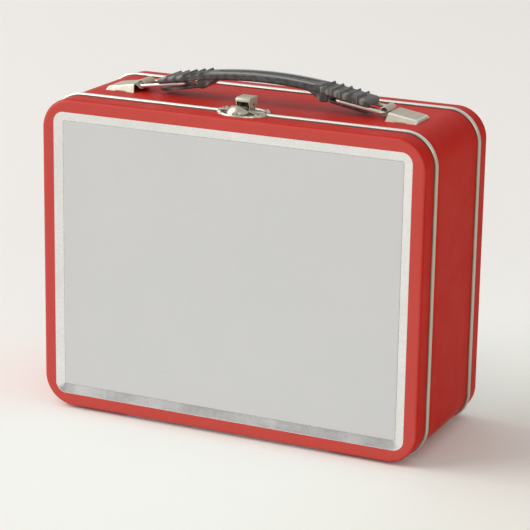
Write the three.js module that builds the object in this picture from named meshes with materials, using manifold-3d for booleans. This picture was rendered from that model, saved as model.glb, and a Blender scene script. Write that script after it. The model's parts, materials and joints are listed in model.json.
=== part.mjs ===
// A hinged sheet-metal lunch box: a band with a seamed rear pan, a front lid pan hinged along the bottom,
// a snap latch on top and a plastic carrying handle on two wire loops.
// Millimetres, +X to the right, +Y to the rear, +Z up. The origin is at the middle of the underside.
import * as THREE from 'three';
import { mergeVertices } from 'three/addons/utils/BufferGeometryUtils.js';
import Module from 'manifold-3d';

const wasm = await Module();
wasm.setup();

// ---- Driving dimensions ----
const WIDTH = 203;
const HEIGHT = 159;
const DEPTH = 83.7;
const CORNER_RADIUS = 15.5;
const CORNER_STEPS = 7;
const SHEET = 0.5;
const BEND = 1.6; // outside radius between a pan's rim and its skirt
const RIM = 6.5; // from the outline to the start of the sunk border
const WINDOW_RADIUS = 5.5; // corner of the rim's inner edge, tighter than the outline's
const BORDER = 4.5;
const RECESS = 1.2; // from the rim down to the face of the picture plate
const PLATE = 0.5;
const PLATE_GAP = 0.3; // all round the picture plate

const BEAD_RADIUS = 1.35;
const BEAD_SINK = 0.05; // of the bead's centre below the outline
const BEAD_STAND = BEAD_RADIUS - BEAD_SINK; // how far a bead stands out of the sheet
const BEAD_FLAT = 0.95; // depth of the bead's flat inner side
const FRONT_BEAD_Y = -28.95;
const REAR_BEAD_Y = 28.95;
const SEAM = 0.3; // gap between a bead and the sheets beside it

const HARDWARE_X = 2.5; // the handle and latch sit a little right of the middle
const HANDLE_Y = -2.85;
const CLIPS_X = 1.25; // middle between the two clips that carry the handle

// ---- Levels worked out from them ----
const FLOOR_Z = BEAD_STAND; // the sheet's underside: the box stands on its beads
const TOP_Z = FLOOR_Z + HEIGHT;
const MIDDLE_Z = FLOOR_Z + HEIGHT / 2;
const FRONT_Y = -DEPTH / 2;
const REAR_Y = DEPTH / 2;
const MOUTH_LID_Y = FRONT_BEAD_Y - BEAD_RADIUS - SEAM;
const MOUTH_BAND_Y = FRONT_BEAD_Y + BEAD_RADIUS + SEAM;

// ---- Paints and metals ----
const finish = (color, roughness, metalness) =>
  new THREE.MeshStandardMaterial({ color, roughness, metalness });
const RED_PAINT = finish(0xb2332a, 0.4, 0.1);
const BARE_TIN = finish(0xd8d5ce, 0.35, 0.9);
const PICTURE_PLATE = finish(0xcfcfcc, 0.5, 0.4);
const NICKEL = finish(0xcdc8b4, 0.35, 0.9);
const STEEL_WIRE = finish(0xd9d6cd, 0.3, 0.9);
const BLACK_PLASTIC = finish(0x3a3c36, 0.45, 0);

// ---- Solids ----
function toSolid(geometry) {
  const bare = new THREE.BufferGeometry();
  bare.setAttribute('position', geometry.getAttribute('position').clone());
  if (geometry.index) bare.setIndex(geometry.index.clone());
  const merged = mergeVertices(bare, 1e-4);
  return new wasm.Manifold(new wasm.Mesh({
    numProp: 3,
    vertProperties: new Float32Array(merged.getAttribute('position').array),
    triVerts: new Uint32Array(merged.index.array),
  }));
}

function toGeometry(solid) {
  const mesh = solid.getMesh();
  const geometry = new THREE.BufferGeometry();
  geometry.setAttribute('position', new THREE.BufferAttribute(new Float32Array(mesh.vertProperties), 3));
  geometry.setIndex(new THREE.BufferAttribute(new Uint32Array(mesh.triVerts), 1));
  geometry.computeVertexNormals();
  return geometry;
}

const joined = (first, ...rest) => rest.reduce((sum, piece) => sum.add(piece), first);
const without = (first, ...rest) => rest.reduce((sum, piece) => sum.subtract(piece), first);

function box(x, y, z) {
  const geometry = new THREE.BoxGeometry(x[1] - x[0], y[1] - y[0], z[1] - z[0]);
  return toSolid(geometry.translate((x[0] + x[1]) / 2, (y[0] + y[1]) / 2, (z[0] + z[1]) / 2));
}

// A profile drawn in two axes and extruded along the third.
function prism(points, span, axes) {
  const shape = new THREE.Shape(points.map(([a, b]) => new THREE.Vector2(a, b)));
  const depth = span[1] - span[0];
  const geometry = new THREE.ExtrudeGeometry(shape, { depth, bevelEnabled: false, curveSegments: 1 });
  return toSolid(geometry.translate(0, 0, span[0]).applyMatrix4(axes));
}

const X_AXIS = new THREE.Vector3(1, 0, 0);
const Y_AXIS = new THREE.Vector3(0, 1, 0);
const Z_AXIS = new THREE.Vector3(0, 0, 1);
const alongX = (yz, span) => prism(yz, span, new THREE.Matrix4().makeBasis(Y_AXIS, Z_AXIS, X_AXIS));
const alongZ = (xy, span) => prism(xy, span, new THREE.Matrix4());
const alongY = (xz, span) => {
  const turned = new THREE.Matrix4().makeBasis(X_AXIS, Z_AXIS, Y_AXIS.clone().negate());
  return prism(xz, [-span[1], -span[0]], turned);
};

const arc = (centre, radius, from, to, steps) => Array.from({ length: steps + 1 }, (_, step) => {
  const angle = THREE.MathUtils.degToRad(from + (to - from) * step / steps);
  return [centre[0] + radius * Math.cos(angle), centre[1] + radius * Math.sin(angle)];
});
const circle = (centre, radius, steps = 12) => arc(centre, radius, 0, 360, steps).slice(0, -1);

// ---- Rounded-rectangle rings, lofted through a list of [inset, y] ----
function cornerRadius(inset) {
  if (inset < RIM - 1) return CORNER_RADIUS - inset;
  return Math.max(WINDOW_RADIUS + RIM - inset, 1);
}

function outline(inset, y) {
  const radius = cornerRadius(inset);
  const reach = inset + radius;
  const points = [];
  [[1, 1], [-1, 1], [-1, -1], [1, -1]].forEach(([sideX, sideZ], quarter) => {
    const centre = [sideX * (WIDTH / 2 - reach), MIDDLE_Z + sideZ * (HEIGHT / 2 - reach)];
    const corner = arc(centre, radius, quarter * 90, quarter * 90 + 90, CORNER_STEPS);
    corner.forEach(([x, z]) => points.push(x, y, z));
  });
  return points;
}

function loft(profile, closed) {
  const positions = profile.flatMap(([inset, y]) => outline(inset, y));
  const count = 4 * (CORNER_STEPS + 1);
  const index = [];
  const bands = closed ? profile.length : profile.length - 1;
  for (let band = 0; band < bands; band += 1) {
    const here = band * count;
    const next = ((band + 1) % profile.length) * count;
    for (let step = 0; step < count; step += 1) {
      const after = (step + 1) % count;
      index.push(here + step, here + after, next + after, here + step, next + after, next + step);
    }
  }
  if (!closed) {
    const last = (profile.length - 1) * count;
    for (let step = 1; step < count - 1; step += 1) {
      index.push(0, step + 1, step, last, last + step, last + step + 1);
    }
  }
  return outwards(positions, index);
}

// Builds the solid, turned so that its faces point out.
function outwards(positions, index) {
  const corner = (vertex) => new THREE.Vector3().fromArray(positions, 3 * vertex);
  let volume = 0;
  for (let face = 0; face < index.length; face += 3) {
    const [a, b, c] = index.slice(face, face + 3).map(corner);
    volume += a.dot(b.cross(c));
  }
  if (volume < 0) index.reverse();
  const geometry = new THREE.BufferGeometry();
  geometry.setAttribute('position', new THREE.Float32BufferAttribute(positions, 3));
  geometry.setIndex(index);
  return toSolid(geometry);
}

// ---- The case: pans, band, beads and neck ----
// A pan: a skirt, a rounded bend, a flat rim, a sloping border and a sunk floor, all of one sheet.
function pan(faceY, inwards, skirt) {
  const floor = RECESS + PLATE;
  const inner = RIM + BORDER;
  const slopeInset = SHEET * 0.15; // the sheet's thickness seen across the shallow slope
  const outerBend = arc([BEND, BEND], BEND, 270, 180, 3);
  const innerBend = arc([BEND, BEND], BEND - SHEET, 180, 270, 3);
  const profile = [
    [inner + 0.2, floor], [inner, RECESS], [RIM, 0], ...outerBend, [0, skirt],
    [SHEET, skirt], ...innerBend, [RIM - slopeInset, SHEET], [inner - slopeInset, RECESS + SHEET],
    [inner, floor + SHEET],
  ];
  return loft(profile.map(([inset, depth]) => [inset, faceY + inwards * depth]), false);
}

function picturePlate(faceY, inwards) {
  const inset = RIM + BORDER + PLATE_GAP;
  const face = faceY + inwards * RECESS;
  return loft([[inset, face], [inset, face + inwards * PLATE]], false);
}

// A rolled bead: round outside, with a flat inner side.
// One facet faces straight out, so the box stands on it.
function bead(y) {
  const facets = 9;
  const reach = THREE.MathUtils.radToDeg(Math.acos((BEAD_FLAT - BEAD_SINK) / BEAD_RADIUS));
  const halfFacet = THREE.MathUtils.degToRad((180 - reach) / facets);
  return loft(arc([BEAD_SINK, y], BEAD_RADIUS / Math.cos(halfFacet), reach, 360 - reach, facets), true);
}

const HINGE_HALF = 56;
const LATCH_FRONT_Y = -40.05;
const LATCH_REAR_Y = -17.25;

function frontBead() {
  const gap = HINGE_HALF + 0.6;
  const y = [FRONT_BEAD_Y - 3, FRONT_BEAD_Y + 3];
  return without(bead(FRONT_BEAD_Y), box([-gap, gap], y, [-1, 5]));
}

function mouthNeck() {
  const outer = BEAD_FLAT + SEAM; // clear of the bead and of the lid's skirt
  const seat = SHEET + 0.05; // where it is welded inside the band
  const front = MOUTH_LID_Y - 4.3;
  return loft([
    [outer, front], [outer, MOUTH_BAND_Y + 0.8], [seat, MOUTH_BAND_Y + 1.8], [seat, MOUTH_BAND_Y + 4.4],
    [seat + SHEET, MOUTH_BAND_Y + 4.4], [seat + SHEET, MOUTH_BAND_Y + 2.1], [outer + SHEET, MOUTH_BAND_Y + 1],
    [outer + SHEET, front],
  ], true);
}

// ---- Handle clips: a hollow wedge, a curled barrel, and two tabs through the band ----
const BARREL_X = 65.3;
const BARREL_Z = TOP_Z + 3.85;
const BARREL_RADIUS = 2.35;
const BARREL_BORE = 1.75;
const BARREL_HALF = 5;
const CLIP_SHEET = 0.7;
const CLIP_INNER_X = 67.2;
const CLIP_OUTER_X = 83.4;
const CLIP_HALF_TOP = 7.2;
const CLIP_HALF_BASE = 9.3;
const CLIP_TALL = 4;
const CLIP_LOW = 1.6;
const TAB_X = [72, 78];
const TAB_Y = CLIP_HALF_BASE - 0.2;
const TAB_FOLD = 4.5; // how far each tab is folded in under the band
const TAB_DROP = 0.7; // from the top face to the folded tab

// A six-sided block from its base rectangle and its sloping top rectangle.
function wedge(side, inner, outerBase, outerTop, halfBase, halfTop, base, tall, low) {
  const corners = [
    [inner, -halfBase, base], [outerBase, -halfBase, base],
    [outerBase, halfBase, base], [inner, halfBase, base],
    [inner, -halfTop, tall], [outerTop, -halfTop, low], [outerTop, halfTop, low], [inner, halfTop, tall],
  ];
  const positions = corners.flatMap(([x, y, z]) => [CLIPS_X + side * x, HANDLE_Y + y, TOP_Z + z]);
  const quads = [[0, 3, 2, 1], [4, 5, 6, 7], [0, 1, 5, 4], [1, 2, 6, 5], [2, 3, 7, 6], [3, 0, 4, 7]];
  return outwards(positions, quads.flatMap(([a, b, c, d]) => [a, b, c, a, c, d]));
}

function handleClip(side) {
  const outside = wedge(side, CLIP_INNER_X, CLIP_OUTER_X, CLIP_OUTER_X - 0.6,
    CLIP_HALF_BASE, CLIP_HALF_TOP, 0, CLIP_TALL, CLIP_LOW);
  const inside = wedge(side, CLIP_INNER_X - 1, CLIP_OUTER_X - 0.8, CLIP_OUTER_X - 1.4,
    CLIP_HALF_BASE - CLIP_SHEET, CLIP_HALF_TOP - CLIP_SHEET, -0.2, CLIP_TALL - 0.6, CLIP_LOW - 0.8);
  const centre = [CLIPS_X + side * BARREL_X, BARREL_Z];
  const y = [HANDLE_Y - BARREL_HALF, HANDLE_Y + BARREL_HALF];
  const barrel = alongY(circle(centre, BARREL_RADIUS, 14), y);
  const bore = alongY(circle(centre, BARREL_BORE, 14), [y[0] - 1, y[1] + 1]);
  const x = TAB_X.map((place) => CLIPS_X + side * place).sort((a, b) => a - b);
  const tabs = [-1, 1].map((end) => {
    const across = (from, to) => [HANDLE_Y + end * from, HANDLE_Y + end * to].sort((a, b) => a - b);
    const leg = box(x, across(TAB_Y - CLIP_SHEET, TAB_Y), [TOP_Z - TAB_DROP - CLIP_SHEET, TOP_Z + 0.4]);
    const fold = box(x, across(TAB_FOLD, TAB_Y), [TOP_Z - TAB_DROP - CLIP_SHEET, TOP_Z - TAB_DROP]);
    return joined(leg, fold);
  });
  return without(joined(without(outside, inside), barrel, ...tabs), bore);
}

function tabSlots(side) {
  const x = TAB_X.map((place) => CLIPS_X + side * place).sort((a, b) => a - b);
  return [-1, 1].map((end) => {
    const y = [HANDLE_Y + end * (TAB_Y - CLIP_SHEET), HANDLE_Y + end * TAB_Y].sort((a, b) => a - b);
    return box([x[0] - SEAM, x[1] + SEAM], [y[0] - SEAM, y[1] + SEAM], [TOP_Z - 2, TOP_Z + 2]);
  });
}

// ---- Handle: an arched bar with a forked end on each side ----
const HANDLE_HALF_BAR = 7;
const HANDLE_HALF_PLATE = 8;
const HANDLE_HALF_PRONG = 4.9;
const FORK_X = 33;
const FORK_TIP_X = 57;
const PRONG_TIP_X = 56.8;
const FORK_SLOPE = 0.18;
const RIDGE_PITCH = 4.45;
const RIDGE_COUNT = 5;
const PLATE_ROOT = 1.6; // thickness of the fork's upper plate at its root and at its tip
const PLATE_TIP = 1.1;
const SLOT_BOTTOM = 5.5;
const PRONG_BOTTOM = 7.1;
const forkTop = (x) => TOP_Z + 12.4 - FORK_SLOPE * (x - FORK_X);
const forkUnder = (x) => {
  const along = (x - FORK_X) / (FORK_TIP_X - FORK_X);
  return forkTop(x) - PLATE_ROOT + (PLATE_ROOT - PLATE_TIP) * along;
};
const barTop = (x) => TOP_Z + 15.1 - 2.4 * (x / FORK_X) ** 2;
const BAR_THICKNESS = 3.7;
const handlePoint = (side, x, z) => [HARDWARE_X + side * x, z];

function handleBar() {
  const stations = [-29, -20, -10, 0, 10, 20, 29];
  const top = [-FORK_X, ...stations, FORK_X].map((x) => [HARDWARE_X + x, barTop(x)]);
  const web = (side) => [
    handlePoint(side, FORK_X + 2, forkTop(FORK_X) - 0.6),
    handlePoint(side, FORK_X + 2, forkTop(FORK_X) - PRONG_BOTTOM),
    handlePoint(side, FORK_X - 1.5, forkTop(FORK_X) - PRONG_BOTTOM),
  ];
  const underside = stations.slice(1, -1).reverse().map((x) => [HARDWARE_X + x, barTop(x) - BAR_THICKNESS]);
  const haunch = (side) => handlePoint(side, 27, barTop(27) - BAR_THICKNESS - 0.8);
  const profile = [...top, ...web(1), haunch(1), ...underside, haunch(-1), ...web(-1).reverse()];
  return alongY(profile, [HANDLE_Y - HANDLE_HALF_BAR, HANDLE_Y + HANDLE_HALF_BAR]);
}

function forkPlate(side) {
  const profile = [handlePoint(side, FORK_X - 1.5, forkTop(FORK_X))];
  for (let ridge = 0; ridge < RIDGE_COUNT; ridge += 1) {
    const x = FORK_X + ridge * RIDGE_PITCH;
    profile.push(handlePoint(side, x - 0.9, forkTop(x - 0.9)), handlePoint(side, x - 0.3, forkTop(x) + 1));
    profile.push(handlePoint(side, x + 0.3, forkTop(x) + 1), handlePoint(side, x + 0.9, forkTop(x + 0.9)));
  }
  profile.push(
    handlePoint(side, FORK_TIP_X - 0.6, forkTop(FORK_TIP_X)),
    handlePoint(side, FORK_TIP_X, forkTop(FORK_TIP_X) - PLATE_TIP / 2),
    handlePoint(side, FORK_TIP_X - 0.6, forkUnder(FORK_TIP_X)),
    handlePoint(side, FORK_X - 1.5, forkUnder(FORK_X - 1.5)),
  );
  return alongY(profile, [HANDLE_Y - HANDLE_HALF_PLATE, HANDLE_Y + HANDLE_HALF_PLATE]);
}

function forkProng(side) {
  const profile = [
    handlePoint(side, FORK_X, forkTop(FORK_X) - SLOT_BOTTOM),
    handlePoint(side, PRONG_TIP_X - 0.8, forkTop(PRONG_TIP_X) - SLOT_BOTTOM),
    handlePoint(side, PRONG_TIP_X, forkTop(PRONG_TIP_X) - SLOT_BOTTOM - 0.5),
    handlePoint(side, PRONG_TIP_X - 1.5, forkTop(PRONG_TIP_X) - PRONG_BOTTOM),
    handlePoint(side, FORK_X, forkTop(FORK_X) - PRONG_BOTTOM),
  ];
  return alongY(profile, [HANDLE_Y - HANDLE_HALF_PRONG, HANDLE_Y + HANDLE_HALF_PRONG]);
}

const handleGrip = () =>
  joined(handleBar(), ...[-1, 1].flatMap((side) => [forkPlate(side), forkProng(side)]));

// ---- Wire loops: each runs through a clip's barrel and through the handle's fork ----
const WIRE_RADIUS = 0.95;
const LOOP_HALF = 6.3;
const LOOP_LENGTH = 24.6;
const LOOP_Z = TOP_Z + 3.2; // the crossbar rests low in its barrel
const LOOP_REST = 8.5; // degrees above level
const LOOP_BEND = 2;

function wireLoop(side) {
  const length = [0, LOOP_LENGTH];
  const corners = [[length[0], -LOOP_HALF, 180], [length[1], -LOOP_HALF, 270],
    [length[1], LOOP_HALF, 0], [length[0], LOOP_HALF, 90]];
  const path = corners.flatMap(([along, across, start]) => {
    const centre = [along + (along > 0 ? -LOOP_BEND : LOOP_BEND), across - Math.sign(across) * LOOP_BEND];
    return arc(centre, LOOP_BEND, start, start + 90, 4);
  });
  const tilt = THREE.MathUtils.degToRad(LOOP_REST);
  const inward = new THREE.Vector3(-side * Math.cos(tilt), 0, Math.sin(tilt));
  const normal = new THREE.Vector3().crossVectors(inward, Y_AXIS);
  const origin = new THREE.Vector3(CLIPS_X + side * BARREL_X, HANDLE_Y, LOOP_Z);
  const place = ([along, across], out, up) => origin.clone()
    .addScaledVector(inward, along + out[0] * up[0]).addScaledVector(Y_AXIS, across + out[1] * up[0])
    .addScaledVector(normal, up[1]);
  const around = 8;
  const positions = path.flatMap((point, step) => {
    const before = path[(step + path.length - 1) % path.length];
    const after = path[(step + 1) % path.length];
    const out = new THREE.Vector2(after[1] - before[1], before[0] - after[0]).normalize().toArray();
    return circle([0, 0], WIRE_RADIUS, around).flatMap((ring) => place(point, out, ring).toArray());
  });
  const index = [];
  path.forEach((_, step) => {
    const here = step * around;
    const next = ((step + 1) % path.length) * around;
    for (let turn = 0; turn < around; turn += 1) {
      const after = (turn + 1) % around;
      index.push(here + turn, here + after, next + after, here + turn, next + after, next + turn);
    }
  });
  return outwards(positions, index);
}

// ---- Hinge: seven knuckles on one pin, with a leaf under the band and a leaf under the lid ----
const HINGE_Z = 1.25;
const KNUCKLE_RADIUS = 1.1;
const KNUCKLE_BORE = 0.7;
const HINGE_PIN_RADIUS = 0.62;
const KNUCKLES = 7;
const LEAF_Z = [FLOOR_Z - 0.5, FLOOR_Z];

function hingeLeaf(first, leafY, reach) {
  const pitch = 2 * HINGE_HALF / KNUCKLES;
  const centre = [FRONT_BEAD_Y, HINGE_Z];
  const plate = box([-HINGE_HALF, HINGE_HALF], leafY, LEAF_Z);
  const knuckles = [];
  for (let place = first; place < KNUCKLES; place += 2) {
    const x = [-HINGE_HALF + place * pitch + SEAM / 2, -HINGE_HALF + (place + 1) * pitch - SEAM / 2];
    const neck = box(x, reach, LEAF_Z);
    knuckles.push(joined(alongX(circle(centre, KNUCKLE_RADIUS), x), neck));
  }
  const bore = alongX(circle(centre, KNUCKLE_BORE), [-HINGE_HALF - 1, HINGE_HALF + 1]);
  return without(joined(plate, ...knuckles), bore);
}

const hingeLeafBand = () =>
  hingeLeaf(0, [MOUTH_BAND_Y + 0.1, -16.85], [FRONT_BEAD_Y + 0.9, MOUTH_BAND_Y + 0.5]);
const hingeLeafLid = () =>
  hingeLeaf(1, [-39.45, MOUTH_LID_Y - 0.1], [MOUTH_LID_Y - 0.5, FRONT_BEAD_Y - 0.9]);
const hingePin = () => alongX(circle([FRONT_BEAD_Y, HINGE_Z], HINGE_PIN_RADIUS), [-HINGE_HALF, HINGE_HALF]);

// ---- Latch: a plate with two ears on the band, a strike on the lid, and a hasp on a pin ----
const LATCH_HALF = 13.5;
const LATCH_PIN = [-25.35, TOP_Z + 4.2];
const LATCH_PIN_RADIUS = 0.65;
const LATCH_BORE = 0.75;
const HASP_HALF = 3.8;
const HASP_SHEET = 0.6;
const HASP_TOP = TOP_Z + 7.8;
const HASP_FRONT_Y = -30.25;
const HASP_REAR_Y = -21.15;
const EAR_X = [2.5, 3.1];
const RIVET_X = 8.6;
const BASE_RIVET_Y = -20.45;
const STRIKE_RIVET_Y = -35.05;
const RIVET_SHANK = 1;
const RIVET_HEAD = 1.9;
// Thin, because a strike rivet dips as the lid starts to open and its tail passes over the neck.
const RIVET_TAIL = 0.5;
const LATCH_SHEET = 0.7;

function escutcheon() {
  const half = (LATCH_REAR_Y - LATCH_FRONT_Y) / 2;
  const centreY = (LATCH_REAR_Y + LATCH_FRONT_Y) / 2;
  const oval = circle([0, 0], 1, 28).map(([x, y]) => [HARDWARE_X + LATCH_HALF * x, centreY + half * y]);
  return alongZ(oval, [TOP_Z - 1, TOP_Z + 9]);
}

const latchSpan = (half) => [HARDWARE_X - half, HARDWARE_X + half];

function rivetHoles(y) {
  const spots = [-1, 1].map((side) => [HARDWARE_X + side * RIVET_X, y]);
  return spots.map((spot) => alongZ(circle(spot, RIVET_SHANK + SEAM), [TOP_Z - 3, TOP_Z + 4]));
}

function rivet(side, y) {
  const spot = [HARDWARE_X + side * RIVET_X, y];
  const top = TOP_Z + LATCH_SHEET;
  const head = alongZ(circle(spot, RIVET_HEAD), [top, top + 0.5]);
  const crown = alongZ(circle(spot, RIVET_HEAD * 0.6), [top, top + 0.9]);
  const shank = alongZ(circle(spot, RIVET_SHANK), [TOP_Z - SHEET - RIVET_TAIL / 2, top + 0.2]);
  const tail = alongZ(circle(spot, RIVET_HEAD), [TOP_Z - SHEET - RIVET_TAIL, TOP_Z - SHEET]);
  return joined(head, crown, shank, tail);
}

function latchBase() {
  const over = BEAD_STAND + 0.15; // it steps up over the front bead
  const rear = LATCH_REAR_Y + 1;
  const plate = alongX([
    [MOUTH_LID_Y + 0.15, TOP_Z + over], [MOUTH_BAND_Y - 0.2, TOP_Z + over], [MOUTH_BAND_Y + 0.1, TOP_Z],
    [rear, TOP_Z], [rear, TOP_Z + LATCH_SHEET], [MOUTH_BAND_Y + 0.7, TOP_Z + LATCH_SHEET],
    [MOUTH_BAND_Y + 0.2, TOP_Z + over + LATCH_SHEET], [MOUTH_LID_Y + 0.15, TOP_Z + over + LATCH_SHEET],
  ], latchSpan(LATCH_HALF + 1));
  const earShape = [
    [LATCH_PIN[0] - 1.6, TOP_Z + 0.3], ...arc(LATCH_PIN, 1.6, 180, 0, 6), [LATCH_PIN[0] + 1.6, TOP_Z + 0.3],
  ];
  const ears = [-1, 1].map((side) => {
    const x = EAR_X.map((place) => HARDWARE_X + side * place).sort((a, b) => a - b);
    return alongX(earShape, x);
  });
  const bore = alongX(circle(LATCH_PIN, LATCH_BORE), latchSpan(6));
  return without(joined(plate.intersect(escutcheon()), ...ears), bore, ...rivetHoles(BASE_RIVET_Y));
}

function latchStrike() {
  const plate = box(latchSpan(LATCH_HALF + 1), [LATCH_FRONT_Y - 1, MOUTH_LID_Y - 0.05],
    [TOP_Z, TOP_Z + LATCH_SHEET]);
  const tongue = alongX([
    [-38.35, TOP_Z + 0.3], [-35.35, TOP_Z + 1.3], [-31.85, TOP_Z + 2.9], [-29.25, TOP_Z + 2.9],
    [-29.05, TOP_Z + 3.5], [-28.25, TOP_Z + 3.5], [-28.25, TOP_Z + 2.3], [-31.65, TOP_Z + 2.3],
    [-33.85, TOP_Z + 0.3],
  ], latchSpan(2.9));
  return without(joined(plate.intersect(escutcheon()), tongue), ...rivetHoles(STRIKE_RIVET_Y));
}

function latchHasp() {
  const cheek = [
    [HASP_FRONT_Y, TOP_Z + 3.9], [LATCH_PIN[0] - 1, TOP_Z + 2.1], [LATCH_PIN[0] + 1, TOP_Z + 2.1],
    [HASP_REAR_Y, LATCH_PIN[1]], [HASP_REAR_Y, HASP_TOP - 0.8], [HASP_REAR_Y - 0.8, HASP_TOP],
    [HASP_FRONT_Y + 0.6, HASP_TOP], [HASP_FRONT_Y, HASP_TOP - 0.6],
  ];
  const outside = alongX(cheek, latchSpan(HASP_HALF));
  const hollow = box(latchSpan(HASP_HALF - HASP_SHEET), // open at the rear, where the ears come up into it
    [HASP_FRONT_Y + HASP_SHEET, HASP_REAR_Y + 1], [TOP_Z, HASP_TOP - HASP_SHEET]);
  return without(outside, hollow, alongX(circle(LATCH_PIN, LATCH_BORE), latchSpan(6)));
}

const latchPin = () => alongX(circle(LATCH_PIN, LATCH_PIN_RADIUS), latchSpan(HASP_HALF + 0.3));

// ---- Assembly ----
const lunchBox = new THREE.Group();

function add(name, solid, material) {
  const mesh = new THREE.Mesh(toGeometry(solid), material);
  mesh.name = name;
  lunchBox.add(mesh);
}

function bodyBand() {
  const sleeve = loft([
    [0, MOUTH_BAND_Y], [SHEET, MOUTH_BAND_Y],
    [SHEET, REAR_BEAD_Y - BEAD_RADIUS - SEAM], [0, REAR_BEAD_Y - BEAD_RADIUS - SEAM],
  ], true);
  return without(sleeve, ...tabSlots(-1), ...tabSlots(1), ...rivetHoles(BASE_RIVET_Y));
}

const lidSkirt = MOUTH_LID_Y - FRONT_Y;
const rearSkirt = REAR_Y - (REAR_BEAD_Y + BEAD_RADIUS + SEAM);

add('body_band', bodyBand(), RED_PAINT);
add('rear_panel', pan(REAR_Y, -1, rearSkirt), RED_PAINT);
add('rear_picture_plate', picturePlate(REAR_Y, -1), PICTURE_PLATE);
add('rear_bead', bead(REAR_BEAD_Y), BARE_TIN);
add('front_bead', frontBead(), BARE_TIN);
add('mouth_neck', mouthNeck(), BARE_TIN);
add('lid_panel', without(pan(FRONT_Y, 1, lidSkirt), ...rivetHoles(STRIKE_RIVET_Y)), RED_PAINT);
add('lid_picture_plate', picturePlate(FRONT_Y, 1), PICTURE_PLATE);
add('hinge_leaf_band', hingeLeafBand(), BARE_TIN);
add('hinge_leaf_lid', hingeLeafLid(), BARE_TIN);
add('hinge_pin', hingePin(), STEEL_WIRE);
add('latch_base', latchBase(), NICKEL);
add('latch_strike', latchStrike(), NICKEL);
add('latch_hasp', latchHasp(), NICKEL);
add('latch_pin', latchPin(), STEEL_WIRE);
add('handle_grip', handleGrip(), BLACK_PLASTIC);
[['left', -1], ['right', 1]].forEach(([name, side]) => {
  add(`handle_clip_${name}`, handleClip(side), NICKEL);
  add(`wire_loop_${name}`, wireLoop(side), STEEL_WIRE);
  add(`latch_base_rivet_${name}`, rivet(side, BASE_RIVET_Y), NICKEL);
  add(`latch_strike_rivet_${name}`, rivet(side, STRIKE_RIVET_Y), NICKEL);
});

export default lunchBox;
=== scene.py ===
import json
import math

import bmesh
import bpy
from mathutils import Matrix, Vector


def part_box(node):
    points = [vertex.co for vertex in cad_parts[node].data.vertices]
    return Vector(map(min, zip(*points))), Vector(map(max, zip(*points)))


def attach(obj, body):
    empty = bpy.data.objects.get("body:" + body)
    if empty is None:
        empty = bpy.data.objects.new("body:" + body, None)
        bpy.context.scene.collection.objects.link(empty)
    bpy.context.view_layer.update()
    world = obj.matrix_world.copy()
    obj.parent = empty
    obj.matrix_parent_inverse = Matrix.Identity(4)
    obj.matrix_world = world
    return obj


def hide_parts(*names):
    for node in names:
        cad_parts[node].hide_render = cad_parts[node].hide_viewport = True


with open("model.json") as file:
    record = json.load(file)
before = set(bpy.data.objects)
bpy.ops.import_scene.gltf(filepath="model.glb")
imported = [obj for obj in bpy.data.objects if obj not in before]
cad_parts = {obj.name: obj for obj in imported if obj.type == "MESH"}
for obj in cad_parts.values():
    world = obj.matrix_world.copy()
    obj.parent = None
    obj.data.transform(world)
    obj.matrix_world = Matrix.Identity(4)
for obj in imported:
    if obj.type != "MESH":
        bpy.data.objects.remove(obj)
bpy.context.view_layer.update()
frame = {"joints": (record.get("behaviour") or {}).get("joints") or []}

# Shapes below are written in millimetres, in the frame's axes, and made in metres.
MM = 0.001


def span(node):
    """Lowest and highest corner of a CAD node, in millimetres."""
    low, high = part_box(node)
    return low / MM, high / MM


def joint_place(name):
    """A joint's pivot, in millimetres."""
    joint = next(j for j in frame["joints"] if j["name"] == name)
    return Vector(joint["pos_m"]) / MM


# ---- Places taken from the frame ----
band_low, band_high = span("body_band")
lid_low, lid_high = span("lid_panel")
rear_low, rear_high = span("rear_panel")
front_bead_low, front_bead_high = span("front_bead")
rear_bead_low, rear_bead_high = span("rear_bead")
neck_low, neck_high = span("mouth_neck")
handle_low, handle_high = span("handle_grip")
clip_low, clip_high = span("handle_clip_right")
hasp_low, hasp_high = span("latch_hasp")
base_low, base_high = span("latch_base")
strike_low, strike_high = span("latch_strike")

WIDTH = band_high.x - band_low.x
FLOOR_Z = band_low.z
TOP_Z = band_high.z
HEIGHT = TOP_Z - FLOOR_Z
MIDDLE_Z = (FLOOR_Z + TOP_Z) / 2
FRONT_Y = lid_low.y
REAR_Y = rear_high.y
HARDWARE_X = (hasp_low.x + hasp_high.x) / 2
HANDLE_Y = (handle_low.y + handle_high.y) / 2
LATCH_PIN = joint_place("hasp_lift")
HINGE = joint_place("lid_hinge")
LEFT_LOOP = joint_place("loop_left_swing")
RIGHT_LOOP = joint_place("loop_right_swing")
CLIPS_X = (LEFT_LOOP.x + RIGHT_LOOP.x) / 2
BARREL_X = (RIGHT_LOOP.x - LEFT_LOOP.x) / 2
LOOP_Z = RIGHT_LOOP.z
BARREL_HEIGHT = 3.85  # of the barrels' axis above the band
BARREL_Z = TOP_Z + BARREL_HEIGHT

# ---- Sheet-metal sizes shared with the CAD ----
CORNER_RADIUS = 15.5
SHEET = 0.5
BEND = 1.6
RIM = 6.5
WINDOW_RADIUS = 5.5
BORDER = 4.5
RECESS = 1.2
PLATE_GAP = 0.3
BEAD_RADIUS = 1.35
CORNER_STEPS = 18
SIDE_STEPS = 14


# ---- Nodes for materials ----
def srgb(red, green, blue):
    """A colour given in 0 to 255 display values, as linear RGBA."""
    def linear(value):
        value /= 255
        return value / 12.92 if value <= 0.04045 else ((value + 0.055) / 1.055) ** 2.4
    return (linear(red), linear(green), linear(blue), 1.0)


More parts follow.
